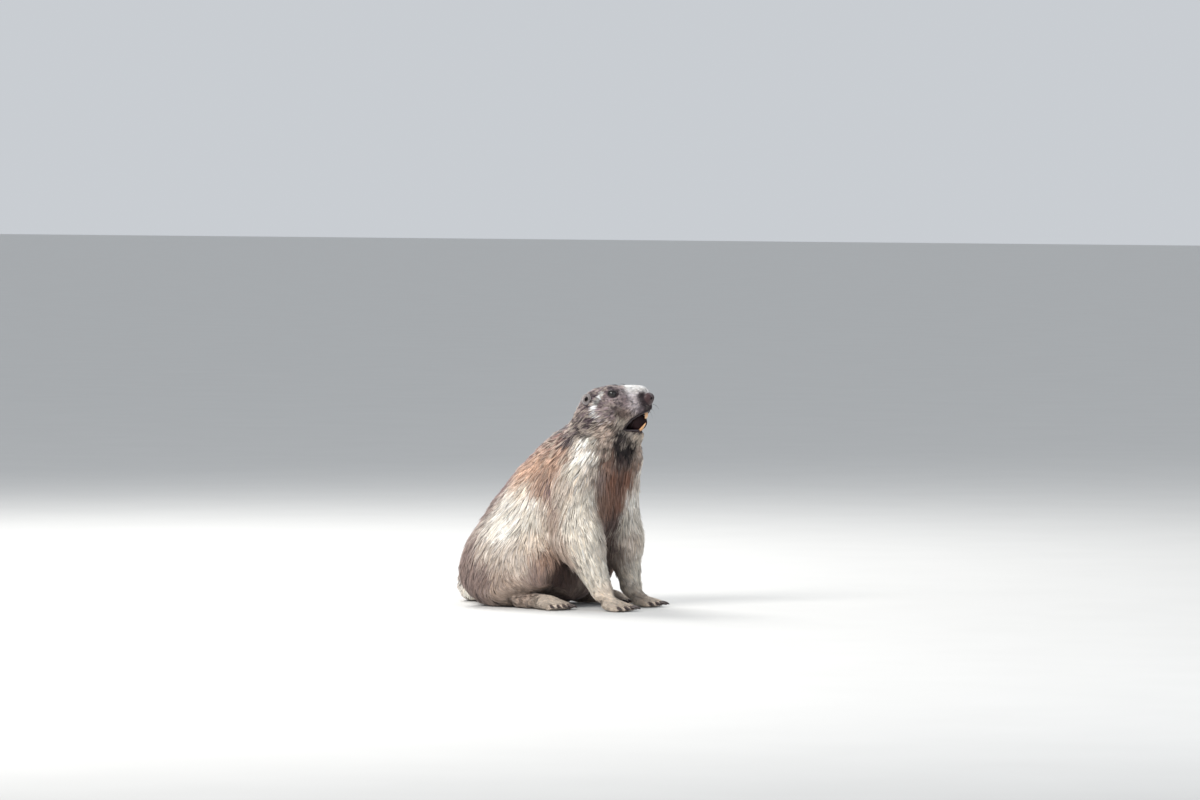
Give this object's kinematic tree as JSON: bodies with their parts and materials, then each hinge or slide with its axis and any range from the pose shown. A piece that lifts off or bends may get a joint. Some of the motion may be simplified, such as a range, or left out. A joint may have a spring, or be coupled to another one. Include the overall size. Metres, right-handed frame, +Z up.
{
  "type": "animal figure",
  "caption": "Life-size still model of an alpine marmot sitting on its haunches, forefeet on the ground, head raised and mouth open in a call.",
  "frame": {"origin": "on the floor, at the middle of the flat that the rump and belly sit on", "axes": "+Z up, +X the way the chest faces, +Y the animal's left"},
  "size_m": [0.3578, 0.2408, 0.2989],
  "materials": {
    "fur_head": "short dense grey-brown fur",
    "fur_back": "long fur, rusty to pale buff",
    "fur_pale": "long pale cream fur",
    "fur_chest": "long brown-grey fur",
    "fur_foot": "short cream fur, with dark horn claws",
    "fur_ear": "short pale fur",
    "fur_tail_tip": "long dark brown fur",
    "nose_skin": "bare moist skin",
    "tongue_skin": "moist skin",
    "tooth": "orange-cream enamel",
    "eye": "wet, almost black"
  },
  "bodies": {
    "root": {"head": "fur_head", "jaw": "fur_head", "nose": "nose_skin", "tongue": "tongue_skin", "ear_right": "fur_ear", "eye_right": "eye", "incisor_upper_right": "tooth", "incisor_lower_right": "tooth", "ear_left": "fur_ear", "eye_left": "eye", "incisor_upper_left": "tooth", "incisor_lower_left": "tooth", "neck": "fur_head", "chest": "fur_chest", "abdomen": "fur_back", "foreleg_right": "fur_pale", "forepaw_right": "fur_foot", "thigh_right": "fur_pale", "hindfoot_right": "fur_foot", "foreleg_left": "fur_pale", "forepaw_left": "fur_foot", "thigh_left": "fur_pale", "hindfoot_left": "fur_foot", "tail_base": "fur_pale", "tail_tip": "fur_tail_tip"}
  },
  "joints": []
}
